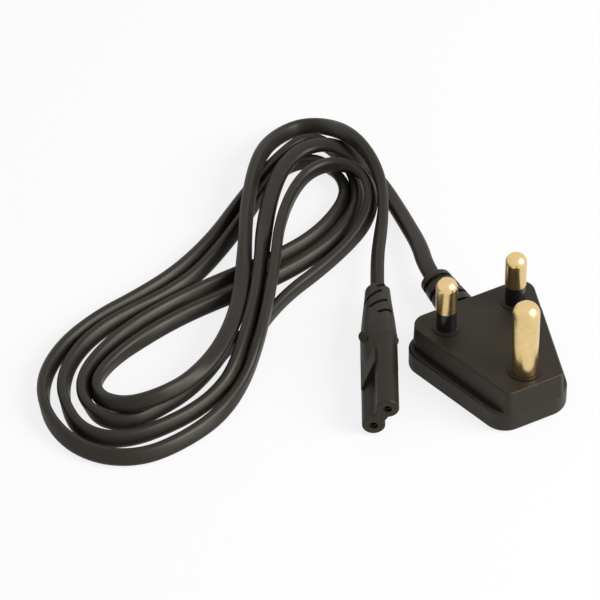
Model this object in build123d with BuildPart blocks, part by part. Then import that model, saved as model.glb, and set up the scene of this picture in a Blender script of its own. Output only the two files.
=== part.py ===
from build123d import *
import os
from math import cos, radians, sin, tan

os.makedirs("parts", exist_ok=True)

# Moulded cord set: a three-pin plug lying on its flat back, a flat two-core cord and a two-hole connector.
# Millimetres. Origin on the plug's back, midway between the pin rows.
# +Y runs towards the cord and +Z along the pins.

# Plug pins
PIN_PITCH = 25.4
EARTH_PITCH = 28.6
PIN_DIAMETER = 7.06
PIN_LENGTH = 20.6
PIN_TIP_ROUND = 3.1
EARTH_DIAMETER = 8.71
EARTH_LENGTH = 28.6
EARTH_TIP_ROUND = 3.9
EARTH_SHANK_DIAMETER = 8.3
EARTH_FOOT = 0.5
SLEEVE_LENGTH = 8.2
SLEEVE_WALL = 1.0
SLEEVE_RECESS = 0.25
COLLAR_PROUD = 1.3
COLLAR_HEIGHT = 2.0
COLLAR_FOOT = 1.5
TAIL_DIAMETER = 4.2
TAIL_LENGTH = 4.0

# Plug moulding
PLUG_HEIGHT = 17.5
FLANGE_HEIGHT = 8.6
BACK_EDGE = 23.5
FRONT_EDGE = 22.5
FACE_BACK_WIDTH = 48.0
FACE_FRONT_WIDTH = 21.0
FINGER_STEP = 2.3
FACE_BACK_ROUND = 5.5
FACE_FRONT_ROUND = 2.5
FLANGE_BACK_ROUND = 6.5
FLANGE_FRONT_ROUND = 8.0
WALL_DRAFT = 2.5
BASE_ROUND = 1.6
FACE_ROUND = 0.6
STEP_ROUND = 0.9
BOSS_MARGIN = 1.1
BOSS_HEIGHT = 0.4

# Plug boot
BOOT_LEVEL = 7.0
BOOT_LENGTH = 22.0
BOOT_ROOT_WIDTH = 13.6
BOOT_ROOT_DEPTH = 11.0
BOOT_END_WIDTH = 10.6
BOOT_END_DEPTH = 8.8
BOOT_END_ROUND = 1.0
BOOT_SINK = 1.5
BOOT_COLLAR = 2.6
GROOVE_COUNT = 4
GROOVE_WIDTH = 1.7
GROOVE_PITCH = 4.7
GROOVE_DEPTH = 1.3

# Plug inside
CARRIER_DEPTH = 3.0
CARRIER_HEIGHT = 5.0
CARRIER_WALL = 1.2
CRIMP_WALL = 0.9
CRIMP_HEIGHT = 3.0
CRIMP_REACH = 8.0
CRIMP_GRIP = 4.5
SPLIT_DISTANCE = 15.5
CORE_BEND = 10.0

# Cord
CORD_WIDTH = 5.8
CORD_THICKNESS = 3.5
CORE_DIAMETER = 2.0
CORE_SPACING = 2.4
CONDUCTOR_DIAMETER = 1.1
ARC_SHARE = 0.45

# Connector
CONNECTOR_ROLL = 59.0
CONNECTOR_LENGTH = 58.3
HOLE_PITCH = 8.6
HOLE_DIAMETER = 2.8
LOBE_DIAMETER = 7.5
LOBE_START = 26.0
LOBE_ROOT_START = 9.0
LOBE_ROOT_PITCH = 4.0
LOBE_ROOT_DIAMETER = 5.6
WEB_THICKNESS = 4.4
WAIST_START = 42.0
PANEL_START = 22.0
PANEL_SHORT_END = 38.5
PANEL_LONG_END = 44.5
PANEL_THICKNESS = 9.0
NOSE_ROUND = 0.5
NECK_WIDTH = 8.8
NECK_THICKNESS = 8.2
NECK_ROUND = 1.0
SHOULDER_START = 16.0
SHOULDER_WIDTH = 12.0
SHOULDER_THICKNESS = 10.8
GRIP_START = 28.0
GRIP_WIDTH = 14.4
GRIP_THICKNESS = 11.0
WAIST_WIDTH = 13.0
BOOT_TURN = 30.0
SLOT_COUNT = 3
SLOT_START = 1.4
SLOT_PITCH = 4.7
SLOT_WIDTH = 1.2
SLOT_DEPTH = 1.5
SLOT_SPAN = 0.8
SLOT_CUTTER = 6.0
NUB_START = 22.5
NUB_LENGTH = 4.2
NUB_WIDTH = 3.0
NUB_PROUD = 0.5

# Connector inside
NOSE_WALL = 1.5
INSERT_WALL = 0.9
INSERT_LENGTH = 15.5
INSERT_WEB = 2.2
CONTACT_BORE = 2.4
CONTACT_WALL = 0.5
CONTACT_LENGTH = 12.0
CONTACT_SLIT = 0.5
CONTACT_FLOOR = 0.8
BARREL_LENGTH = 6.5
BARREL_WALL = 0.4
BARREL_GRIP = 4.5
CORE_SPREAD_START = 13.0
CORE_SPREAD_END = 30.0

# Levels and places that follow from the sizes above
FACE = PLUG_HEIGHT
CARRIER_TOP = FACE - CARRIER_DEPTH
CARRIER_BASE = CARRIER_TOP - CARRIER_HEIGHT
COLLAR_BASE = CARRIER_BASE + COLLAR_FOOT
TAIL_BASE = CARRIER_BASE - TAIL_LENGTH
CORE_LEVEL = CARRIER_BASE - TAIL_LENGTH / 2
PIN_ROW = EARTH_PITCH / 2
BOOT_END = BACK_EDGE + BOOT_LENGTH
PIN_NECK = PIN_DIAMETER - 2 * SLEEVE_WALL
SIDES = {"live": -1, "neutral": 1}

# The cord's route from the plug's boot to the connector, read strand by strand
CORD_ROUTE = [
    (0, BOOT_END, BOOT_LEVEL),
    (0, 52.5, BOOT_LEVEL), (3.4, 63, 5.6), (6.8, 77.5, 3.6), (7.8, 91, 3), (7.2, 102.5, 3), (5, 112, 9.6),
    (0.6, 120.8, 9.6), (-8.5, 123.5, 9.4), (-18.5, 118, 9.4), (-28, 107.5, 9.4), (-37.5, 94, 9.4),
    (-46, 80.5, 9.4), (-56.5, 64.5, 9.4), (-67, 51, 9.2), (-77, 41, 5), (-88.5, 34, 3), (-102, 29.5, 3),
    (-113.5, 28.5, 3), (-123, 32.5, 3), (-130, 40.5, 3), (-131.5, 51.5, 3), (-128, 62.5, 3), (-120, 72, 3),
    (-108.5, 79, 3), (-95.5, 82, 3), (-82.5, 83.5, 3), (-69, 88.5, 3), (-55.5, 98, 3), (-41.5, 108, 3),
    (-28, 117, 3), (-16, 121.5, 3), (-7, 119, 3), (-2.5, 110.5, 3), (-3.8, 101, 3), (-11, 94, 3),
    (-23, 88, 3), (-38, 84, 3), (-53, 82.5, 3), (-67.5, 81.5, 3), (-82.5, 79.5, 3), (-97.5, 76, 3),
    (-111, 70, 3), (-121.5, 61.5, 3), (-126, 51.5, 3), (-123, 42, 3), (-115, 36.5, 3), (-105, 35.5, 3),
    (-94, 38.5, 3), (-80.5, 46.5, 3), (-65.5, 57, 3), (-49.5, 66, 3), (-34, 72.6, 3), (-18, 77.5, 3),
    (-6, 84, 5.5), (-0.4, 91.8, 9.2), (2.5, 102.5, 9.4), (-2.5, 111, 9.4), (-11.5, 112, 9.4),
    (-21.5, 104.5, 9), (-33, 90.5, 9.2), (-43.5, 74.5, 9.4), (-54.5, 59, 9.4), (-65.5, 45, 8),
    (-76, 35.5, 4), (-89, 27, 3), (-104, 22, 3), (-118.5, 21.5, 3), (-130, 27.5, 3), (-136.8, 38.5, 3),
    (-138, 53, 3), (-132.5, 67.5, 3),
    (-120.5, 78.5, 3), (-105, 85, 3), (-89, 88, 3), (-73, 93, 3), (-56.5, 103, 3), (-40, 115, 3),
    (-27.5, 122.5, 3), (-17.5, 130, 3), (-6.5, 134.5, 3), (1.2, 131, 3), (3.4, 120.5, 3), (1.9, 106, 3),
    (-3.5, 93.5, 3), (-15, 84, 3), (-31, 78, 3), (-47, 75, 3), (-62.5, 73.5, 3), (-78, 72.5, 3),
    (-93.5, 69.5, 3), (-108.5, 65, 3), (-118.2, 58.5, 3), (-119.6, 51, 3), (-113.5, 44.5, 3.5),
    (-104, 41, 6.8), (-92.5, 41, 9.6), (-80, 47.5, 9.4), (-68, 59, 9.4), (-58.5, 73, 9.4), (-50, 88, 9.4),
    (-41, 104, 9.4), (-31.5, 119, 9.6), (-24, 129, 9.6), (-14.5, 137.4, 5.6), (-3, 141.2, 3), (6, 137.5, 3),
    (11.5, 127.5, 4), (12, 111, 9.6), (8, 98, 10.2), (2, 85.5, 9.2), (-5.2, 73.5, 8.1), (-13.4, 61, 8.1),
    (-19.9, 48.2, 8.1),
]


def largest_radii(points):
    """The largest tangent arc that each corner of a route leaves room for."""
    radii = []
    for before, corner, after in zip(points, points[1:], points[2:]):
        arriving = Vector(corner) - Vector(before)
        leaving = Vector(after) - Vector(corner)
        reach = ARC_SHARE * min(arriving.length, leaving.length)
        radii.append(reach / tan(radians(arriving.get_angle(leaving)) / 2))
    return radii


def across(point, direction):
    """A plane at a point, square to a direction."""
    return Plane(origin=point, z_dir=direction)


def upright(x, y):
    """A vertical plane through a pin's axis, with X across the pin and Y up it."""
    return Plane(origin=(x, y, 0), x_dir=(1, 0, 0), z_dir=(0, -1, 0))


def finish(piece, name):
    """Label a finished piece and write it."""
    piece.part.label = name
    export_step(piece.part, f"parts/{name}.step")


# Live and neutral pins, turned, each with a necked shank under its sleeve
pins = {}
for name, side in SIDES.items():
    with BuildPart() as pin:
        with BuildSketch(upright(side * PIN_PITCH / 2, PIN_ROW)) as pin_profile:
            with BuildLine():
                Polyline(
                    (0, TAIL_BASE),
                    (TAIL_DIAMETER / 2, TAIL_BASE),
                    (TAIL_DIAMETER / 2, CARRIER_BASE),
                    (PIN_NECK / 2, CARRIER_BASE),
                    (PIN_NECK / 2, COLLAR_BASE),
                    (PIN_NECK / 2 + COLLAR_PROUD, COLLAR_BASE),
                    (PIN_NECK / 2 + COLLAR_PROUD, COLLAR_BASE + COLLAR_HEIGHT),
                    (PIN_NECK / 2, COLLAR_BASE + COLLAR_HEIGHT),
                    (PIN_NECK / 2, FACE + SLEEVE_LENGTH),
                    (PIN_DIAMETER / 2, FACE + SLEEVE_LENGTH),
                    (PIN_DIAMETER / 2, FACE + PIN_LENGTH),
                    (0, FACE + PIN_LENGTH),
                    close=True,
                )
            make_face()
            fillet(pin_profile.vertices().group_by(Axis.Y)[-1].sort_by(Axis.X)[-1], PIN_TIP_ROUND)
        revolve(axis=Axis((side * PIN_PITCH / 2, PIN_ROW, 0), (0, 0, 1)))
    finish(pin, f"{name}_pin")
    pins[name] = pin

# Earth pin, thicker and longer, with no sleeve
with BuildPart() as earth_pin:
    with BuildSketch(upright(0, -PIN_ROW)) as earth_profile:
        with BuildLine():
            Polyline(
                (0, CARRIER_BASE),
                (EARTH_SHANK_DIAMETER / 2, CARRIER_BASE),
                (EARTH_SHANK_DIAMETER / 2, COLLAR_BASE),
                (EARTH_SHANK_DIAMETER / 2 + COLLAR_PROUD, COLLAR_BASE),
                (EARTH_SHANK_DIAMETER / 2 + COLLAR_PROUD, COLLAR_BASE + COLLAR_HEIGHT),
                (EARTH_SHANK_DIAMETER / 2, COLLAR_BASE + COLLAR_HEIGHT),
                (EARTH_SHANK_DIAMETER / 2, FACE + BOSS_HEIGHT + EARTH_FOOT),
                (EARTH_DIAMETER / 2, FACE + BOSS_HEIGHT + EARTH_FOOT),
                (EARTH_DIAMETER / 2, FACE + EARTH_LENGTH),
                (0, FACE + EARTH_LENGTH),
                close=True,
            )
        make_face()
        fillet(earth_profile.vertices().group_by(Axis.Y)[-1].sort_by(Axis.X)[-1], EARTH_TIP_ROUND)
    revolve(axis=Axis((0, -PIN_ROW, 0), (0, 0, 1)))
finish(earth_pin, "earth_pin")

# Pin sleeves, a little thinner than the bare pins above them
sleeves = {}
for name, side in SIDES.items():
    with BuildPart() as sleeve:
        with BuildSketch(Plane((side * PIN_PITCH / 2, PIN_ROW, CARRIER_TOP))):
            Circle(PIN_DIAMETER / 2 - SLEEVE_RECESS)
            Circle(PIN_NECK / 2, mode=Mode.SUBTRACT)
        extrude(amount=CARRIER_DEPTH + SLEEVE_LENGTH)
    finish(sleeve, f"{name}_pin_sleeve")
    sleeves[name] = sleeve

# Stiff carrier that holds the three pins at their spacing
with BuildPart() as pin_carrier:
    with BuildSketch(Plane.XY.offset(CARRIER_BASE)):
        with Locations((-PIN_PITCH / 2, PIN_ROW), (PIN_PITCH / 2, PIN_ROW)):
            Circle(PIN_NECK / 2 + COLLAR_PROUD + CARRIER_WALL)
        with Locations((0, -PIN_ROW)):
            Circle(EARTH_SHANK_DIAMETER / 2 + COLLAR_PROUD + CARRIER_WALL)
        make_hull()
    extrude(amount=CARRIER_HEIGHT)
    add([pins["live"].part, pins["neutral"].part, earth_pin.part], mode=Mode.SUBTRACT)
finish(pin_carrier, "pin_carrier")

# Inside the plug: two cores leave the cord one above the other and part towards the pins
plug_inside = []
for name, side in SIDES.items():
    start = Vector(0, BOOT_END, BOOT_LEVEL - side * CORE_SPACING / 2)
    split = start - Vector(0, SPLIT_DISTANCE, 0)
    tail = Vector(side * PIN_PITCH / 2, PIN_ROW, CORE_LEVEL)
    outward = (split - tail).normalized()
    core_end = tail + outward * CRIMP_REACH
    wire_end = tail + outward * (CRIMP_REACH - CRIMP_GRIP)

    with BuildPart() as conductor:
        with BuildLine() as wire_path:
            FilletPolyline(start, split, wire_end, radius=CORE_BEND)
        with BuildSketch(across(start, split - start)):
            Circle(CONDUCTOR_DIAMETER / 2)
        sweep()
    finish(conductor, f"plug_{name}_conductor")

    with BuildPart() as core:
        with BuildLine() as core_path:
            FilletPolyline(start, split, core_end, radius=CORE_BEND)
        with BuildSketch(across(start, split - start)):
            Circle(CORE_DIAMETER / 2)
        sweep()
        add(conductor.part, mode=Mode.SUBTRACT)
    finish(core, f"plug_{name}_core")

    with BuildPart() as crimp:
        with BuildSketch(Plane((tail.X, tail.Y, CORE_LEVEL - CRIMP_HEIGHT / 2))):
            Circle(TAIL_DIAMETER / 2 + CRIMP_WALL)
        extrude(amount=CRIMP_HEIGHT)
        with BuildSketch(across(tail, outward)):
            Circle(CONDUCTOR_DIAMETER / 2 + CRIMP_WALL)
        extrude(amount=CRIMP_REACH)
        add([pins[name].part, conductor.part], mode=Mode.SUBTRACT)
    finish(crimp, f"{name}_crimp")

    plug_inside += [pins[name].part, sleeves[name].part, crimp.part, core.part, conductor.part]

# Plug moulding: a rounded flange, a narrower face block behind a finger step, and the ribbed boot
with BuildPart() as plug_body:
    with BuildSketch() as flange_outline:
        with BuildLine():
            Polyline(
                (FACE_BACK_WIDTH / 2 + FINGER_STEP, BACK_EDGE),
                (-FACE_BACK_WIDTH / 2 - FINGER_STEP, BACK_EDGE),
                (-FACE_FRONT_WIDTH / 2 - FINGER_STEP, -FRONT_EDGE),
                (FACE_FRONT_WIDTH / 2 + FINGER_STEP, -FRONT_EDGE),
                close=True,
            )
        make_face()
        fillet(flange_outline.vertices().group_by(Axis.Y)[0], FLANGE_FRONT_ROUND)
        fillet(flange_outline.vertices().group_by(Axis.Y)[-1], FLANGE_BACK_ROUND)
    extrude(amount=FLANGE_HEIGHT)
    fillet(plug_body.faces().sort_by(Axis.Z)[0].edges(), BASE_ROUND)
    fillet(plug_body.faces().sort_by(Axis.Z)[-1].edges(), STEP_ROUND)
    with BuildSketch(Plane.XY.offset(FLANGE_HEIGHT - STEP_ROUND)) as face_outline:
        with BuildLine():
            Polyline(
                (FACE_BACK_WIDTH / 2, BACK_EDGE),
                (-FACE_BACK_WIDTH / 2, BACK_EDGE),
                (-FACE_FRONT_WIDTH / 2, -FRONT_EDGE),
                (FACE_FRONT_WIDTH / 2, -FRONT_EDGE),
                close=True,
            )
        make_face()
        fillet(face_outline.vertices().group_by(Axis.Y)[0], FACE_FRONT_ROUND)
        fillet(face_outline.vertices().group_by(Axis.Y)[-1], FACE_BACK_ROUND)
    extrude(amount=FACE - FLANGE_HEIGHT + STEP_ROUND, taper=WALL_DRAFT)
    fillet(plug_body.faces().sort_by(Axis.Z)[-1].edges(), FACE_ROUND)
    with BuildSketch(Plane.XY.offset(FACE)):
        with Locations((-PIN_PITCH / 2, PIN_ROW), (PIN_PITCH / 2, PIN_ROW)):
            Circle(PIN_DIAMETER / 2 + BOSS_MARGIN)
        with Locations((0, -PIN_ROW)):
            Circle(EARTH_DIAMETER / 2 + BOSS_MARGIN)
    extrude(amount=BOSS_HEIGHT)
    boot_root = Plane(origin=(0, BACK_EDGE - BOOT_SINK, BOOT_LEVEL), x_dir=(1, 0, 0), z_dir=(0, 1, 0))
    with BuildSketch(boot_root):
        Ellipse(BOOT_ROOT_WIDTH / 2, BOOT_ROOT_DEPTH / 2)
    with BuildSketch(boot_root.offset(BOOT_SINK + BOOT_LENGTH)):
        Ellipse(BOOT_END_WIDTH / 2, BOOT_END_DEPTH / 2)
    loft()
    fillet(plug_body.faces().sort_by(Axis.Y)[-1].edges(), BOOT_END_ROUND)
    for groove in range(GROOVE_COUNT):
        setback = BOOT_COLLAR + groove * GROOVE_PITCH
        share = (setback + GROOVE_WIDTH / 2) / (BOOT_LENGTH + BOOT_SINK)
        floor_width = BOOT_END_WIDTH + share * (BOOT_ROOT_WIDTH - BOOT_END_WIDTH) - 2 * GROOVE_DEPTH
        floor_depth = BOOT_END_DEPTH + share * (BOOT_ROOT_DEPTH - BOOT_END_DEPTH) - 2 * GROOVE_DEPTH
        with BuildSketch(boot_root.offset(BOOT_SINK + BOOT_LENGTH - setback)):
            Rectangle(BOOT_ROOT_WIDTH, BOOT_ROOT_DEPTH)
            Ellipse(floor_width / 2, floor_depth / 2, mode=Mode.SUBTRACT)
        extrude(amount=-GROOVE_WIDTH, mode=Mode.SUBTRACT)
    add([pin_carrier.part, earth_pin.part] + plug_inside, mode=Mode.SUBTRACT)
finish(plug_body, "plug_body")

# Cord: a flat section swept on edge along the route
cord_radii = largest_radii(CORD_ROUTE)
with BuildPart() as cord:
    with BuildLine() as cord_path:
        FilletPolyline(*CORD_ROUTE, radius=cord_radii)
    heading = Vector(CORD_ROUTE[1]) - Vector(CORD_ROUTE[0])
    level = heading.cross(Vector(0, 0, 1))
    with BuildSketch(Plane(origin=CORD_ROUTE[0], x_dir=level.cross(heading), z_dir=heading)):
        SlotOverall(CORD_WIDTH, CORD_THICKNESS)
    sweep()
finish(cord, "cord")
print("cord radii", [round(radius, 1) for radius in cord_radii])
print("cord length", round(cord_path.wire().length, 1))

# Connector frame: Z runs from the boot's end to the nose, X from the low hole to the raised one
heading = (Vector(CORD_ROUTE[-1]) - Vector(CORD_ROUTE[-2])).normalized()
level = heading.cross(Vector(0, 0, 1)) * -1
broad = level * cos(radians(CONNECTOR_ROLL)) + Vector(0, 0, sin(radians(CONNECTOR_ROLL)))
connector = Plane(origin=CORD_ROUTE[-1], x_dir=broad, z_dir=heading)
along = Axis(origin=connector.origin, direction=connector.z_dir)
NOSE = CONNECTOR_LENGTH
CONTACT_MOUTH = NOSE - NOSE_WALL
CONTACT_REAR = CONTACT_MOUTH - CONTACT_LENGTH
BARREL_REAR = CONTACT_REAR - BARREL_LENGTH
CONTACT_OUTER = CONTACT_BORE + 2 * CONTACT_WALL
BARREL_OUTER = CONDUCTOR_DIAMETER + 2 * BARREL_WALL

# Inside the connector: cores spread to two rolled socket contacts
connector_inside = []
for name, side in SIDES.items():
    lane = side * HOLE_PITCH / 2
    inner_lane = side * CORE_SPACING / 2
    route = [
        connector.from_local_coords(Vector(inner_lane, 0, 0)),
        connector.from_local_coords(Vector(inner_lane, 0, CORE_SPREAD_START)),
        connector.from_local_coords(Vector(lane, 0, CORE_SPREAD_END)),
        connector.from_local_coords(Vector(lane, 0, BARREL_REAR)),
    ]
    wire_route = route[:-1] + [connector.from_local_coords(Vector(lane, 0, BARREL_REAR + BARREL_GRIP))]

    with BuildPart() as conductor:
        with BuildLine():
            FilletPolyline(*wire_route, radius=CORE_BEND)
        with BuildSketch(across(route[0], heading)):
            Circle(CONDUCTOR_DIAMETER / 2)
        sweep()
    finish(conductor, f"connector_{name}_conductor")

    with BuildPart() as core:
        with BuildLine():
            FilletPolyline(*route, radius=CORE_BEND)
        with BuildSketch(across(route[0], heading)):
            Circle(CORE_DIAMETER / 2)
        sweep()
        add(conductor.part, mode=Mode.SUBTRACT)
    finish(core, f"connector_{name}_core")

    with BuildPart() as contact:
        with BuildSketch(connector.offset(BARREL_REAR)):
            with Locations((lane, 0)):
                Circle(BARREL_OUTER / 2)
        extrude(amount=BARREL_LENGTH)
        with BuildSketch(connector.offset(CONTACT_REAR)):
            with Locations((lane, 0)):
                Circle(CONTACT_OUTER / 2)
        extrude(amount=-CONTACT_FLOOR)
        with BuildSketch(connector.offset(CONTACT_REAR)):
            with Locations((lane, 0)):
                Circle(CONTACT_OUTER / 2)
                Circle(CONTACT_BORE / 2, mode=Mode.SUBTRACT)
            with Locations((lane, CONTACT_OUTER / 2)):
                Rectangle(CONTACT_SLIT, CONTACT_OUTER, mode=Mode.SUBTRACT)
        extrude(amount=CONTACT_LENGTH)
        add(conductor.part, mode=Mode.SUBTRACT)
    finish(contact, f"connector_{name}_contact")
    connector_inside += [conductor.part, core.part]

# Stiff block that holds both contacts
with BuildPart() as connector_insert:
    with BuildSketch(connector.offset(CONTACT_MOUTH - INSERT_LENGTH)):
        with Locations((-HOLE_PITCH / 2, 0), (HOLE_PITCH / 2, 0)):
            Circle(CONTACT_OUTER / 2 + INSERT_WALL)
        Rectangle(HOLE_PITCH, INSERT_WEB)
    extrude(amount=INSERT_LENGTH)
    with BuildSketch(connector.offset(CONTACT_MOUTH - INSERT_LENGTH)):
        with Locations((-HOLE_PITCH / 2, 0), (HOLE_PITCH / 2, 0)):
            Circle(BARREL_OUTER / 2)
    extrude(amount=INSERT_LENGTH, mode=Mode.SUBTRACT)
    with BuildSketch(connector.offset(CONTACT_REAR - CONTACT_FLOOR)):
        with Locations((-HOLE_PITCH / 2, 0), (HOLE_PITCH / 2, 0)):
            Circle(CONTACT_OUTER / 2)
    extrude(amount=CONTACT_LENGTH + CONTACT_FLOOR, mode=Mode.SUBTRACT)
finish(connector_insert, "connector_insert")

# Connector moulding: a slotted boot that swells to the grip, with two lobes and a slanting grip panel
with BuildPart() as connector_body:
    for distance, width, thickness in (
        (0, NECK_WIDTH, NECK_THICKNESS),
        (SHOULDER_START, SHOULDER_WIDTH, SHOULDER_THICKNESS),
        (GRIP_START, GRIP_WIDTH, GRIP_THICKNESS),
        (WAIST_START, WAIST_WIDTH, WEB_THICKNESS),
    ):
        with BuildSketch(connector.offset(distance)):
            Ellipse(width / 2, thickness / 2)
    loft()
    fillet(connector_body.faces().sort_by(along)[0].edges(), NECK_ROUND)
    for side in SIDES.values():
        with BuildSketch(connector.offset(LOBE_ROOT_START)):
            with Locations((side * LOBE_ROOT_PITCH / 2, 0)):
                Circle(LOBE_ROOT_DIAMETER / 2)
        with BuildSketch(connector.offset(LOBE_START)):
            with Locations((side * HOLE_PITCH / 2, 0)):
                Circle(LOBE_DIAMETER / 2)
        loft()
    with BuildSketch(connector.offset(LOBE_START)):
        with Locations((-HOLE_PITCH / 2, 0), (HOLE_PITCH / 2, 0)):
            Circle(LOBE_DIAMETER / 2)
    extrude(amount=NOSE - LOBE_START)
    with BuildSketch(connector.offset(GRIP_START)):
        Rectangle(HOLE_PITCH, WEB_THICKNESS)
    extrude(amount=NOSE - GRIP_START)
    fillet(connector_body.faces().sort_by(along)[-1].edges(), NOSE_ROUND)
    broad_side = Plane(origin=connector.origin, x_dir=connector.z_dir, z_dir=connector.y_dir)
    with BuildSketch(broad_side):
        with BuildLine():
            Polyline(
                (PANEL_START, -HOLE_PITCH / 2),
                (PANEL_LONG_END, -HOLE_PITCH / 2),
                (PANEL_SHORT_END, HOLE_PITCH / 2),
                (PANEL_START, HOLE_PITCH / 2),
                close=True,
            )
        make_face()
    extrude(amount=PANEL_THICKNESS / 2, both=True)
    boot = connector.rotated((0, 0, BOOT_TURN))
    nub_share = (NUB_START - SHOULDER_START) / (GRIP_START - SHOULDER_START)
    nub_reach = (SHOULDER_WIDTH + nub_share * (GRIP_WIDTH - SHOULDER_WIDTH)) / 2 + NUB_PROUD
    nub_place = connector.from_local_coords(Vector(0, 0, NUB_START))
    with BuildSketch(Plane(origin=nub_place, x_dir=boot.z_dir, z_dir=boot.y_dir)):
        SlotOverall(NUB_LENGTH, NUB_WIDTH)
    extrude(amount=nub_reach, both=True)
    for slot in range(SLOT_COUNT):
        for turn, setback in ((0, 0), (90, SLOT_PITCH / 2)):
            distance = SLOT_START + slot * SLOT_PITCH + setback
            share = distance / SHOULDER_START
            width = NECK_WIDTH + share * (SHOULDER_WIDTH - NECK_WIDTH)
            thickness = NECK_THICKNESS + share * (SHOULDER_THICKNESS - NECK_THICKNESS)
            slot_floor = (width + thickness) / 4 - SLOT_DEPTH
            with BuildSketch(boot.offset(distance)):
                with PolarLocations(slot_floor + SLOT_CUTTER / 2, 2, start_angle=turn):
                    Rectangle(SLOT_CUTTER, SLOT_SPAN * width)
            extrude(amount=SLOT_WIDTH, mode=Mode.SUBTRACT)
    with BuildSketch(connector.offset(CONTACT_MOUTH - INSERT_LENGTH)):
        with Locations((-HOLE_PITCH / 2, 0), (HOLE_PITCH / 2, 0)):
            Circle(CONTACT_OUTER / 2 + INSERT_WALL)
        Rectangle(HOLE_PITCH, INSERT_WEB)
    extrude(amount=INSERT_LENGTH, mode=Mode.SUBTRACT)
    with BuildSketch(connector.offset(BARREL_REAR)):
        with Locations((-HOLE_PITCH / 2, 0), (HOLE_PITCH / 2, 0)):
            Circle(BARREL_OUTER / 2)
    extrude(amount=BARREL_LENGTH, mode=Mode.SUBTRACT)
    add(connector_inside, mode=Mode.SUBTRACT)
    with BuildSketch(connector.offset(CONTACT_MOUTH)):
        with Locations((-HOLE_PITCH / 2, 0), (HOLE_PITCH / 2, 0)):
            Circle(HOLE_DIAMETER / 2)
    extrude(amount=NOSE_WALL, mode=Mode.SUBTRACT)
finish(connector_body, "connector_body")
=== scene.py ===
"""A moulded cord set, dressed for its portrait.

The set is a three-pin plug lying on its back, a flat two-core cord in a loose figure of eight and a
two-hole connector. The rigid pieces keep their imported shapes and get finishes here; the cord is made
here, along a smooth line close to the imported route. Lengths are in metres and angles in degrees.
"""

import logging
import math
from dataclasses import dataclass
from enum import Enum

import bpy
from mathutils import Matrix, Vector


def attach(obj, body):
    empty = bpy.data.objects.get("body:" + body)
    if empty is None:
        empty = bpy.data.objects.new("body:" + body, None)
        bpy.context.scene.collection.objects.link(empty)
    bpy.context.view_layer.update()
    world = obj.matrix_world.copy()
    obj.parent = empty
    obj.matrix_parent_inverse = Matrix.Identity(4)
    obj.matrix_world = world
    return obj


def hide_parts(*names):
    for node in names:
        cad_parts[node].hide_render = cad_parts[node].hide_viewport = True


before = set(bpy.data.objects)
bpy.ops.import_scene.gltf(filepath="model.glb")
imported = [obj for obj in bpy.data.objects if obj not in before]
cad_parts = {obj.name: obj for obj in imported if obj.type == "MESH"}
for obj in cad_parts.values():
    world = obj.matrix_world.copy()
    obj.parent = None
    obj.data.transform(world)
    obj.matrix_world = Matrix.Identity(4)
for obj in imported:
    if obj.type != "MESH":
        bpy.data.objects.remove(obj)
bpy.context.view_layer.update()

BODY = "root"
NOISE_MIDDLE = (0.3, 0.7)
LOG = logging.getLogger("cord_set")

Point = tuple[float, float, float]
Colour = tuple[float, float, float]


@dataclass(frozen=True)
class PhotoView:
    """The camera that looks at the set as the portrait does."""

    position: Point = (-0.4161, -0.7007, 0.8196)
    azimuth: float = 26.146
    elevation: float = 43.898
    roll: float = -1.245
    lens: float = 212.98
    sensor: float = 36.0
    clip: tuple[float, float] = (0.05, 20.0)

    def axes(self) -> tuple[Vector, Vector, Vector]:
        """Work out where the camera's right, up and back point.

        Returns:
            The three unit vectors, in that order.
        """
        turn, drop, lean = (math.radians(a) for a in (self.azimuth, self.elevation, self.roll))
        forward = Vector((
            math.sin(turn) * math.cos(drop),
            math.cos(turn) * math.cos(drop),
            -math.sin(drop),
        ))
        level = Vector((math.cos(turn), -math.sin(turn), 0))
        upright = level.cross(forward)
        right = level * math.cos(lean) + upright * math.sin(lean)
        up = upright * math.cos(lean) - level * math.sin(lean)
        return right, up, -forward

    def build(self) -> bpy.types.Object:
        """Add the camera and make it the scene's own.

        Returns:
            The camera object.
        """
        bpy.ops.object.camera_add(location=self.position)
        camera = bpy.context.active_object
        camera.name = "portrait_camera"
        right, up, back = self.axes()
        turned = Matrix((right, up, back)).transposed().to_4x4()
        camera.matrix_world = Matrix.Translation(self.position) @ turned
        camera.data.sensor_width = self.sensor
        camera.data.lens = self.lens
        camera.data.clip_start, camera.data.clip_end = self.clip
        bpy.context.scene.camera = camera
        return camera


class Stance(Enum):
    """How a stretch of the flat cord lies: the angle of its broad side above the level, in degrees."""

    FLAT = 0.0
    LEANING = 59.0
    ON_EDGE = 90.0
    LEANING_OVER = 121.0
    TURNED_FLAT = 180.0


@dataclass(frozen=True)
class Stretch:
    """A stretch of the cord's route that lies one way."""

    name: str
    stance: Stance
    points: tuple[Point, ...]


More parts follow.
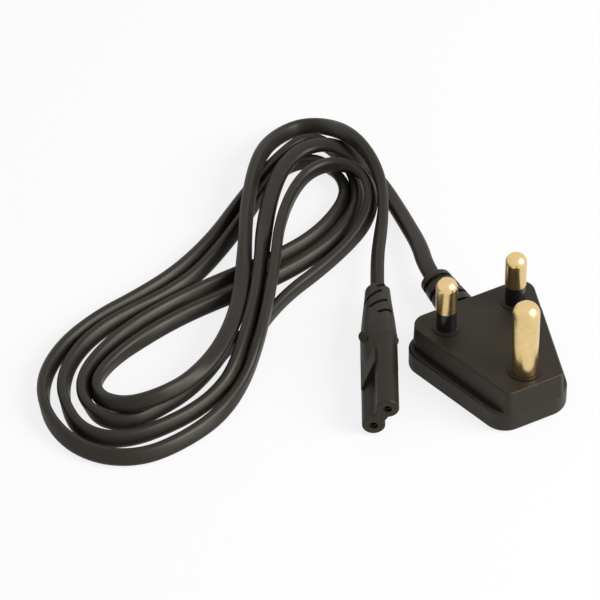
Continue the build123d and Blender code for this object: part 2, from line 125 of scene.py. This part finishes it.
@dataclass
class SupplyCord:
    """The flat two-core cord between the plug and the connector."""

    width: float = 0.0058
    thickness: float = 0.0035
    length: float = 1.554
    exit: Point = (0.0, 0.0455, 0.007)
    spans_per_point: int = 8
    end_steps: int = 9
    connector_nodes: tuple[str, ...] = (
        "connector_body",
        "connector_insert",
        "connector_live_contact",
        "connector_neutral_contact",
        "connector_live_core",
        "connector_neutral_core",
        "connector_live_conductor",
        "connector_neutral_conductor",
    )
    weld: float = 1e-6
    smooth_angle: float = 50.0

    def route(self) -> tuple[Stretch, ...]:
        """List the route's points from the plug's boot to the connector, stretch by stretch.

        Returns:
            The stretches in order along the cord.
        """
        return (
            Stretch("plug lead", Stance.TURNED_FLAT, (
                (0, 0.0455, 0.007), (0.0005, 0.0525, 0.007), (0.0039, 0.0628, 0.006),
                (0.0063, 0.077, 0.004), (0.0085, 0.0921, 0.0022), (0.0088, 0.1038, 0.0024),
            )),
            Stretch("third top bend", Stance.TURNED_FLAT, (
                (0.0046, 0.1119, 0.0078), (0.0009, 0.1213, 0.0076), (-0.0084, 0.124, 0.0076),
            )),
            Stretch("third long run", Stance.TURNED_FLAT, (
                (-0.0194, 0.1185, 0.00775), (-0.0291, 0.1081, 0.00775), (-0.0385, 0.0944, 0.0079),
            )),
            Stretch("third lower run", Stance.LEANING_OVER, (
                (-0.047, 0.0798, 0.0088), (-0.0568, 0.0635, 0.0088), (-0.0674, 0.0496, 0.0088),
            )),
            Stretch("third lower bend", Stance.LEANING_OVER, (
                (-0.0779, 0.0384, 0.0056), (-0.0863, 0.0342, 0.0032), (-0.0959, 0.0311, 0.0028),
                (-0.1068, 0.0296, 0.0028), (-0.117, 0.0296, 0.0028), (-0.1255, 0.0326, 0.0028),
                (-0.1316, 0.0406, 0.0028),
            )),
            Stretch("third left end", Stance.ON_EDGE, (
                (-0.1316, 0.0513, 0.003),
            )),
            Stretch("third return", Stance.LEANING, (
                (-0.128, 0.0625, 0.0028), (-0.12, 0.072, 0.0028), (-0.1085, 0.0788, 0.0028),
                (-0.0955, 0.082, 0.0028), (-0.0825, 0.0835, 0.0028), (-0.0682, 0.0875, 0.0028),
                (-0.0538, 0.0962, 0.0028), (-0.0402, 0.1062, 0.0028),
            )),
            Stretch("third far end", Stance.ON_EDGE, (
                (-0.0271, 0.117, 0.003), (-0.0153, 0.1232, 0.003), (-0.0051, 0.1206, 0.003),
            )),
            Stretch("inner top bend", Stance.LEANING_OVER, (
                (-0.0019, 0.1106, 0.0029), (-0.0035, 0.101, 0.0028), (-0.011, 0.0933, 0.0028),
            )),
            Stretch("inner run", Stance.LEANING_OVER, (
                (-0.0237, 0.0863, 0.0028), (-0.0385, 0.083, 0.0028), (-0.053, 0.0822, 0.0028),
                (-0.0675, 0.0812, 0.0028), (-0.0825, 0.0792, 0.0028), (-0.0975, 0.0755, 0.0028),
                (-0.111, 0.0695, 0.0028),
            )),
            Stretch("inner left end", Stance.LEANING_OVER, (
                (-0.1212, 0.0616, 0.0028), (-0.1253, 0.051, 0.003),
            )),
            Stretch("inner lower bend", Stance.LEANING, (
                (-0.1233, 0.0411, 0.003), (-0.1157, 0.0361, 0.0028), (-0.1047, 0.0377, 0.0028),
                (-0.0937, 0.0404, 0.0028), (-0.083, 0.0461, 0.0028),
            )),
            Stretch("inner return", Stance.ON_EDGE, (
                (-0.0739, 0.0521, 0.003), (-0.0663, 0.0546, 0.003), (-0.0602, 0.0554, 0.003),
                (-0.053, 0.0606, 0.003), (-0.0428, 0.0661, 0.003), (-0.0296, 0.0709, 0.003),
                (-0.0165, 0.0769, 0.003),
            )),
            Stretch("inner rise", Stance.LEANING, (
                (-0.0061, 0.0822, 0.0055), (0.0001, 0.0893, 0.0088), (0.0031, 0.1006, 0.009),
            )),
            Stretch("second long run", Stance.ON_EDGE, (
                (-0.0017, 0.1096, 0.009), (-0.0117, 0.1111, 0.0094), (-0.0224, 0.1049, 0.009),
                (-0.0345, 0.0913, 0.0092), (-0.0443, 0.0749, 0.0094), (-0.0547, 0.0591, 0.0094),
                (-0.0656, 0.0446, 0.0082), (-0.0754, 0.0352, 0.0033),
            )),
            Stretch("outer lower bend", Stance.LEANING_OVER, (
                (-0.0889, 0.0257, 0.0028), (-0.104, 0.0211, 0.0028), (-0.1185, 0.0204, 0.0028),
                (-0.1302, 0.0266, 0.0028), (-0.1372, 0.038, 0.0028),
            )),
            Stretch("outer left end", Stance.ON_EDGE, (
                (-0.1385, 0.053, 0.003),
            )),
            Stretch("outer return", Stance.LEANING, (
                (-0.1328, 0.0675, 0.0028), (-0.1205, 0.0785, 0.0028), (-0.105, 0.0848, 0.0028),
                (-0.089, 0.0876, 0.0028), (-0.0722, 0.0922, 0.0028), (-0.0548, 0.1012, 0.0028),
                (-0.0392, 0.1128, 0.0028),
            )),
            Stretch("outer far end", Stance.ON_EDGE, (
                (-0.0272, 0.1215, 0.003), (-0.0166, 0.1275, 0.003), (-0.0063, 0.1321, 0.003),
                (0.0005, 0.1291, 0.003), (0.0028, 0.1195, 0.003),
            )),
            Stretch("second run", Stance.LEANING_OVER, (
                (0.0022, 0.1059, 0.003), (-0.0031, 0.0933, 0.003), (-0.0154, 0.0827, 0.0028),
                (-0.0318, 0.077, 0.0028), (-0.0473, 0.0744, 0.0028), (-0.0625, 0.074, 0.0028),
                (-0.078, 0.073, 0.0028), (-0.0935, 0.07, 0.0028),
            )),
            Stretch("second left end", Stance.ON_EDGE, (
                (-0.1085, 0.065, 0.003), (-0.1185, 0.0582, 0.003),
            )),
            Stretch("second lower bend", Stance.LEANING, (
                (-0.1205, 0.0502, 0.003), (-0.1158, 0.0391, 0.0078), (-0.1057, 0.0355, 0.0104),
                (-0.0931, 0.0382, 0.0096),
            )),
            Stretch("first long run", Stance.FLAT, (
                (-0.0804, 0.0454, 0.0093), (-0.0679, 0.0573, 0.009), (-0.0578, 0.0719, 0.0082),
            )),
            Stretch("first upper run", Stance.LEANING, (
                (-0.0497, 0.0867, 0.0088), (-0.0411, 0.1029, 0.0088), (-0.0316, 0.1174, 0.0088),
                (-0.0235, 0.1274, 0.0084),
            )),
            Stretch("first top bend", Stance.LEANING, (
                (-0.0142, 0.1352, 0.0054), (-0.0034, 0.1388, 0.0034), (0.0036, 0.133, 0.0056),
                (0.0051, 0.1181, 0.0133),
            )),
            Stretch("connector drop", Stance.ON_EDGE, (
                (0.0064, 0.1056, 0.0145), (0.0053, 0.0939, 0.0125), (0.0014, 0.0837, 0.0102),
            )),
            Stretch("connector lead", Stance.LEANING, (
                (-0.0052, 0.0735, 0.0081), (-0.0134, 0.061, 0.0081), (-0.0199, 0.0482, 0.0081),
            )),
        )

    def section(self) -> bpy.types.Object:
        """Draw the sheath's closed section: two half rounds joined by flats.

        Returns:
            A flat closed curve with the broad side along X.
        """
        radius = self.thickness / 2
        reach = self.width / 2 - radius
        outline = []
        for side, start in ((1, -math.pi / 2), (-1, math.pi / 2)):
            for step in range(self.end_steps + 1):
                angle = start + math.pi * step / self.end_steps
                outline.append((side * reach + radius * math.cos(angle), radius * math.sin(angle)))
        curve = bpy.data.curves.new("cord_section", "CURVE")
        curve.dimensions = "2D"
        spline = curve.splines.new("POLY")
        spline.points.add(len(outline) - 1)
        for point, (x, y) in zip(spline.points, outline):
            point.co = (x, y, 0, 1)
        spline.use_cyclic_u = True
        section = bpy.data.objects.new("cord_section", curve)
        bpy.context.scene.collection.objects.link(section)
        return section

    def centreline(self) -> bpy.types.Object:
        """Lay the route as one smooth spline whose tilt follows each stretch's stance.

        Returns:
            The curve object, with no thickness yet.
        """
        places = [(point, stretch.stance) for stretch in self.route() for point in stretch.points]
        curve = bpy.data.curves.new("cord", "CURVE")
        curve.dimensions = "3D"
        curve.twist_mode = "Z_UP"
        curve.resolution_u = self.spans_per_point
        spline = curve.splines.new("NURBS")
        spline.points.add(len(places) - 1)
        for control, (point, stance) in zip(spline.points, places):
            control.co = (*point, 1)
            control.tilt = math.radians(stance.value)
        spline.order_u = 3
        spline.use_endpoint_u = True
        line = bpy.data.objects.new("supply_cord", curve)
        bpy.context.scene.collection.objects.link(line)
        return line

    def build(self, finish: bpy.types.Material) -> bpy.types.Object:
        """Args:
            finish: The sheath's material.

        Returns:
            The cord's mesh object.
        """
        bpy.ops.object.select_all(action="DESELECT")
        line = self.centreline()
        thread = bpy.data.meshes.new_from_object(line)
        bpy.data.meshes.remove(thread)
        section = self.section()
        line.data.bevel_mode = "OBJECT"
        line.data.bevel_object = section
        line.data.use_fill_caps = True
        line.select_set(True)
        bpy.context.view_layer.objects.active = line
        bpy.ops.object.convert(target="MESH")
        cord = bpy.context.view_layer.objects.active
        bpy.data.objects.remove(section)
        bpy.ops.object.mode_set(mode="EDIT")
        bpy.ops.mesh.select_all(action="SELECT")
        bpy.ops.mesh.remove_doubles(threshold=self.weld)
        bpy.ops.mesh.normals_make_consistent(inside=False)
        bpy.ops.object.mode_set(mode="OBJECT")
        bpy.ops.object.shade_smooth_by_angle(angle=math.radians(self.smooth_angle))
        cord.data.materials.clear()
        cord.data.materials.append(finish)
        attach(cord, BODY)
        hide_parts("cord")
        return cord


class NodeBoard:
    """A new material's node tree, with short ways to add and join nodes."""

    def __init__(self, name: str) -> None:
        """Start a material that has only its surface shader.

        Args:
            name: The material's name.
        """
        self.material = bpy.data.materials.new(name)
        self.material.use_nodes = True
        self.nodes = self.material.node_tree.nodes
        self.links = self.material.node_tree.links
        self.shader = self.nodes["Principled BSDF"]

    def add(self, kind: str, **values: object) -> bpy.types.Node:
        """Add a node and set plain values on its sockets.

        Args:
            kind: The node's type.
            values: Socket values by name, with underscores for spaces.

        Returns:
            The new node.
        """
        node = self.nodes.new(kind)
        for name, value in values.items():
            node.inputs[name.replace("_", " ")].default_value = value
        return node

    def join(self, source: bpy.types.NodeSocket, target: bpy.types.NodeSocket) -> None:
        """Join an output socket to an input socket."""
        self.links.new(source, target)

    def place(self) -> bpy.types.NodeSocket:
        """Give the socket that holds each point's place in the set."""
        return self.add("ShaderNodeTexCoord").outputs["Object"]

    def noise(self, scale: float, detail: float, roughness: float = 0.55) -> bpy.types.NodeSocket:
        """Add a noise over the set's own coordinates.

        Args:
            scale: Cells to the metre.
            detail: Octaves of finer noise.
            roughness: How strong the finer octaves are.

        Returns:
            The noise's value, from 0 to 1.
        """
        node = self.add("ShaderNodeTexNoise", Scale=scale, Detail=detail, Roughness=roughness)
        self.join(self.place(), node.inputs["Vector"])
        return node.outputs["Fac"]

    def spread(self, value: bpy.types.NodeSocket, low: float, high: float) -> bpy.types.NodeSocket:
        """Map the middle of a noise to a range.

        Args:
            value: The noise.
            low: What the noise's low side becomes.
            high: What its high side becomes.

        Returns:
            The mapped value.
        """
        least, most = NOISE_MIDDLE
        node = self.add("ShaderNodeMapRange", From_Min=least, From_Max=most, To_Min=low, To_Max=high)
        self.join(value, node.inputs["Value"])
        return node.outputs["Result"]

    def tint(self, value: bpy.types.NodeSocket, low: Colour, high: Colour) -> bpy.types.NodeSocket:
        """Blend two colours by a value.

        Args:
            value: The share of the second colour.
            low: The first colour.
            high: The second colour.

        Returns:
            The blended colour.
        """
        node = self.nodes.new("ShaderNodeMix")
        node.data_type = "RGBA"
        wanted = ("Factor_Float", "A_Color", "B_Color")
        factor, first, second = (s for s in node.inputs if s.identifier in wanted)
        first.default_value = (*low, 1)
        second.default_value = (*high, 1)
        self.join(value, factor)
        return next(s for s in node.outputs if s.identifier == "Result_Color")

    def bump(
        self,
        height: bpy.types.NodeSocket,
        strength: float,
        depth: float,
        under: bpy.types.NodeSocket | None = None,
    ) -> bpy.types.NodeSocket:
        """Raise the surface by a height.

        Args:
            height: The height, from 0 to 1.
            strength: How much of the effect is kept.
            depth: The height of a full step.
            under: A coarser bump that this one lies on.

        Returns:
            The bent normal.
        """
        node = self.add("ShaderNodeBump", Strength=strength, Distance=depth)
        self.join(height, node.inputs["Height"])
        if under is not None:
            self.join(under, node.inputs["Normal"])
        return node.outputs["Normal"]


@dataclass(frozen=True)
class VinylFinish:
    """Soft black vinyl, moulded or extruded, with a fine grain and a slow sheen."""

    name: str
    dark: Colour
    light: Colour
    gloss: tuple[float, float]
    grain: float = 2600.0
    grain_depth: float = 0.00004
    wave: float = 140.0
    wave_depth: float = 0.0004
    specular: float = 0.5
    sheen: Colour = (1.0, 0.94, 0.86)
    wave_detail: float = 3.0
    wave_strength: float = 0.12
    grain_detail: float = 4.0
    grain_strength: float = 0.35

    def make(self) -> bpy.types.Material:
        """Build the material.

        Returns:
            The vinyl's material.
        """
        board = NodeBoard(self.name)
        shader = board.shader
        clouds = board.noise(self.wave, self.wave_detail)
        grain = board.noise(self.grain, self.grain_detail)
        colour = board.tint(board.spread(clouds, 0, 1), self.dark, self.light)
        board.join(colour, shader.inputs["Base Color"])
        board.join(board.spread(clouds, *self.gloss), shader.inputs["Roughness"])
        swell = board.bump(clouds, self.wave_strength, self.wave_depth)
        surface = board.bump(grain, self.grain_strength, self.grain_depth, swell)
        board.join(surface, shader.inputs["Normal"])
        shader.inputs["Specular IOR Level"].default_value = self.specular
        shader.inputs["Specular Tint"].default_value = (*self.sheen, 1)
        return board.material


@dataclass(frozen=True)
class BrassFinish:
    """Turned and polished brass, slightly tarnished."""

    name: str
    bright: Colour
    tarnish: Colour
    gloss: tuple[float, float]
    turning: float = 900.0
    spots: float = 420.0
    turning_wobble: float = 1.5
    turning_detail: float = 2.0
    turning_strength: float = 0.05
    turning_depth: float = 0.00002
    spot_detail: float = 5.0
    spot_roughness: float = 0.65
    spot_strength: float = 0.02
    spot_depth: float = 0.0001

    def make(self) -> bpy.types.Material:
        """Build the material.

        Returns:
            The brass's material.
        """
        board = NodeBoard(self.name)
        shader = board.shader
        spots = board.noise(self.spots, self.spot_detail, self.spot_roughness)
        rings = board.add(
            "ShaderNodeTexWave",
            Scale=self.turning,
            Distortion=self.turning_wobble,
            Detail=self.turning_detail,
        )
        rings.bands_direction = "Z"
        board.join(board.place(), rings.inputs["Vector"])
        colour = board.tint(board.spread(spots, 0, 1), self.bright, self.tarnish)
        board.join(colour, shader.inputs["Base Color"])
        board.join(board.spread(spots, *self.gloss), shader.inputs["Roughness"])
        marks = board.bump(rings.outputs["Fac"], self.turning_strength, self.turning_depth)
        surface = board.bump(spots, self.spot_strength, self.spot_depth, marks)
        board.join(surface, shader.inputs["Normal"])
        shader.inputs["Metallic"].default_value = 1.0
        return board.material


@dataclass(frozen=True)
class CoreFinish:
    """Smooth coloured insulation or drawn wire inside the set."""

    name: str
    main: Colour
    streak: Colour
    roughness: float
    metallic: float = 0.0
    streaks: float = 800.0
    streak_detail: float = 3.0
    streak_strength: float = 0.1
    streak_depth: float = 0.0001

    def make(self) -> bpy.types.Material:
        """Build the material.

        Returns:
            The core's material.
        """
        board = NodeBoard(self.name)
        shader = board.shader
        streaks = board.noise(self.streaks, self.streak_detail)
        colour = board.tint(board.spread(streaks, 0, 1), self.main, self.streak)
        board.join(colour, shader.inputs["Base Color"])
        surface = board.bump(streaks, self.streak_strength, self.streak_depth)
        board.join(surface, shader.inputs["Normal"])
        shader.inputs["Roughness"].default_value = self.roughness
        shader.inputs["Metallic"].default_value = self.metallic
        return board.material


MOULDED = VinylFinish(
    "moulded_vinyl",
    dark=(0.011, 0.0083, 0.0055),
    light=(0.0155, 0.0117, 0.0076),
    gloss=(0.42, 0.50),
    specular=0.32,
    sheen=(1.0, 0.91, 0.79),
)
SHEATH = VinylFinish(
    "sheath_vinyl",
    dark=(0.0102, 0.0084, 0.0062),
    light=(0.0137, 0.0113, 0.0085),
    gloss=(0.37, 0.47),
    wave=90.0,
    specular=0.34,
    sheen=(1.0, 0.92, 0.81),
)
SLEEVE = VinylFinish(
    "pin_sleeve",
    dark=(0.004, 0.0045, 0.006),
    light=(0.006, 0.0065, 0.008),
    gloss=(0.20, 0.26),
    grain_depth=0.00001,
)
CARRIER = VinylFinish(
    "carrier_resin",
    dark=(0.012, 0.012, 0.012),
    light=(0.02, 0.02, 0.02),
    gloss=(0.45, 0.55),
)
BRASS = BrassFinish(
    "turned_brass",
    bright=(0.80, 0.60, 0.30),
    tarnish=(0.72, 0.52, 0.23),
    gloss=(0.20, 0.27),
)
BROWN = CoreFinish(
    "brown_core",
    main=(0.13, 0.05, 0.02),
    streak=(0.17, 0.07, 0.03),
    roughness=0.42,
)
BLUE = CoreFinish(
    "blue_core",
    main=(0.02, 0.08, 0.32),
    streak=(0.03, 0.11, 0.40),
    roughness=0.42,
)
COPPER = CoreFinish(
    "copper_strand",
    main=(0.78, 0.36, 0.22),
    streak=(0.62, 0.26, 0.15),
    roughness=0.28,
    metallic=1.0,
)


@dataclass
class RigidPieces:
    """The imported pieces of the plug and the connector, and what each is made of."""

    moulded: tuple[str, ...] = ("plug_body", "connector_body")
    brass: tuple[str, ...] = (
        "live_pin",
        "neutral_pin",
        "earth_pin",
        "live_crimp",
        "neutral_crimp",
        "connector_live_contact",
        "connector_neutral_contact",
    )
    sleeves: tuple[str, ...] = ("live_pin_sleeve", "neutral_pin_sleeve")
    carriers: tuple[str, ...] = ("pin_carrier", "connector_insert")
    brown: tuple[str, ...] = ("plug_live_core", "connector_live_core")
    blue: tuple[str, ...] = ("plug_neutral_core", "connector_neutral_core")
    copper: tuple[str, ...] = (
        "plug_live_conductor",
        "plug_neutral_conductor",
        "connector_live_conductor",
        "connector_neutral_conductor",
    )

    def dress(self) -> None:
        """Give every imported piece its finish."""
        for finish, names in (
            (MOULDED, self.moulded),
            (BRASS, self.brass),
            (SLEEVE, self.sleeves),
            (CARRIER, self.carriers),
            (BROWN, self.brown),
            (BLUE, self.blue),
            (COPPER, self.copper),
        ):
            material = finish.make()
            for name in names:
                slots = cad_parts[name].data.materials
                slots.clear()
                slots.append(material)
                LOG.info("%s is finished in %s", name, finish.name)


@dataclass
class Studio:
    """The pale floor, the white surroundings and the soft lamp."""

    floor_size: float = 8.0
    floor_level: float = -0.0001
    floor_colour: Colour = (0.86, 0.86, 0.85)
    seen_white: float = 0.82
    mirrored_white: float = 0.5
    sky_strength: float = 0.45
    lamp_place: Point = (0.75, -0.75, 0.75)
    lamp_aim: Point = (-0.05, 0.06, 0.0)
    lamp_size: float = 0.8
    lamp_power: float = 22.0
    floor_roughness: float = 0.9

    def lay_floor(self) -> bpy.types.Object:
        """Lay the pale floor, which shows white and keeps the set's shadow.

        Returns:
            The floor object.
        """
        bpy.ops.object.select_all(action="DESELECT")
        bpy.ops.mesh.primitive_plane_add(size=self.floor_size, location=(0, 0, self.floor_level))
        floor = bpy.context.active_object
        floor.name = "pale_floor"
        board = NodeBoard("pale_floor")
        board.shader.inputs["Base Color"].default_value = (*self.floor_colour, 1)
        board.shader.inputs["Roughness"].default_value = self.floor_roughness
        board.shader.inputs["Specular IOR Level"].default_value = 0.0
        glow = board.add("ShaderNodeEmission", Color=(1, 1, 1, 1), Strength=1.0)
        rays = board.add("ShaderNodeLightPath")
        mirrored = board.nodes.new("ShaderNodeMath")
        mirrored.operation = "MAXIMUM"
        board.join(rays.outputs["Is Glossy Ray"], mirrored.inputs[0])
        board.join(rays.outputs["Is Transmission Ray"], mirrored.inputs[1])
        dimmed = board.nodes.new("ShaderNodeMath")
        dimmed.operation = "MULTIPLY"
        dimmed.inputs[1].default_value = self.mirrored_white
        board.join(mirrored.outputs[0], dimmed.inputs[0])
        share = board.nodes.new("ShaderNodeMath")
        share.operation = "MULTIPLY_ADD"
        share.inputs[1].default_value = self.seen_white
        board.join(rays.outputs["Is Camera Ray"], share.inputs[0])
        board.join(dimmed.outputs[0], share.inputs[2])
        mixed = board.nodes.new("ShaderNodeMixShader")
        board.join(share.outputs[0], mixed.inputs["Fac"])
        board.join(board.shader.outputs["BSDF"], mixed.inputs[1])
        board.join(glow.outputs["Emission"], mixed.inputs[2])
        board.join(mixed.outputs["Shader"], board.nodes["Material Output"].inputs["Surface"])
        floor.data.materials.append(board.material)
        return floor

    def paint_sky(self) -> None:
        """Surround the set with white, dimmer for the light that falls on it."""
        world = bpy.data.worlds.new("white_surroundings")
        bpy.context.scene.world = world
        world.use_nodes = True
        nodes, links = world.node_tree.nodes, world.node_tree.links
        back = nodes["Background"]
        back.inputs["Color"].default_value = (1, 1, 1, 1)
        rays = nodes.new("ShaderNodeLightPath")
        shown = None
        for kind in ("Is Camera Ray", "Is Glossy Ray", "Is Transmission Ray"):
            if shown is None:
                shown = rays.outputs[kind]
                continue
            either = nodes.new("ShaderNodeMath")
            either.operation = "MAXIMUM"
            links.new(shown, either.inputs[0])
            links.new(rays.outputs[kind], either.inputs[1])
            shown = either.outputs[0]
        strength = nodes.new("ShaderNodeMapRange")
        strength.inputs["To Min"].default_value = self.sky_strength
        strength.inputs["To Max"].default_value = 1.0
        links.new(shown, strength.inputs["Value"])
        links.new(strength.outputs["Result"], back.inputs["Strength"])

    def hang_lamp(self) -> bpy.types.Object:
        """Hang one soft lamp to the right and in front.

        Returns:
            The lamp object.
        """
        bpy.ops.object.light_add(type="AREA", location=self.lamp_place)
        lamp = bpy.context.active_object
        lamp.name = "soft_lamp"
        lamp.data.size = self.lamp_size
        lamp.data.energy = self.lamp_power
        aim = Vector(self.lamp_aim) - Vector(self.lamp_place)
        lamp.rotation_euler = aim.to_track_quat("-Z", "Y").to_euler()
        return lamp

    def build(self) -> None:
        """Set up the floor, the surroundings, the lamp and plain colours."""
        self.lay_floor()
        self.paint_sky()
        self.hang_lamp()
        bpy.context.scene.view_settings.view_transform = "Standard"


def write_sizes() -> None:
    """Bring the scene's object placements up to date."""
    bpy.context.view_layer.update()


def main() -> None:
    """Build the camera, the cord, the finishes and the studio in order."""
    logging.basicConfig(level=logging.INFO, format="%(name)s: %(message)s")
    PhotoView().build()
    cord = SupplyCord().build(SHEATH.make())
    LOG.info("%s has %d faces", cord.name, len(cord.data.polygons))
    RigidPieces().dress()
    Studio().build()
    write_sizes()


if __name__ == "__main__":
    main()
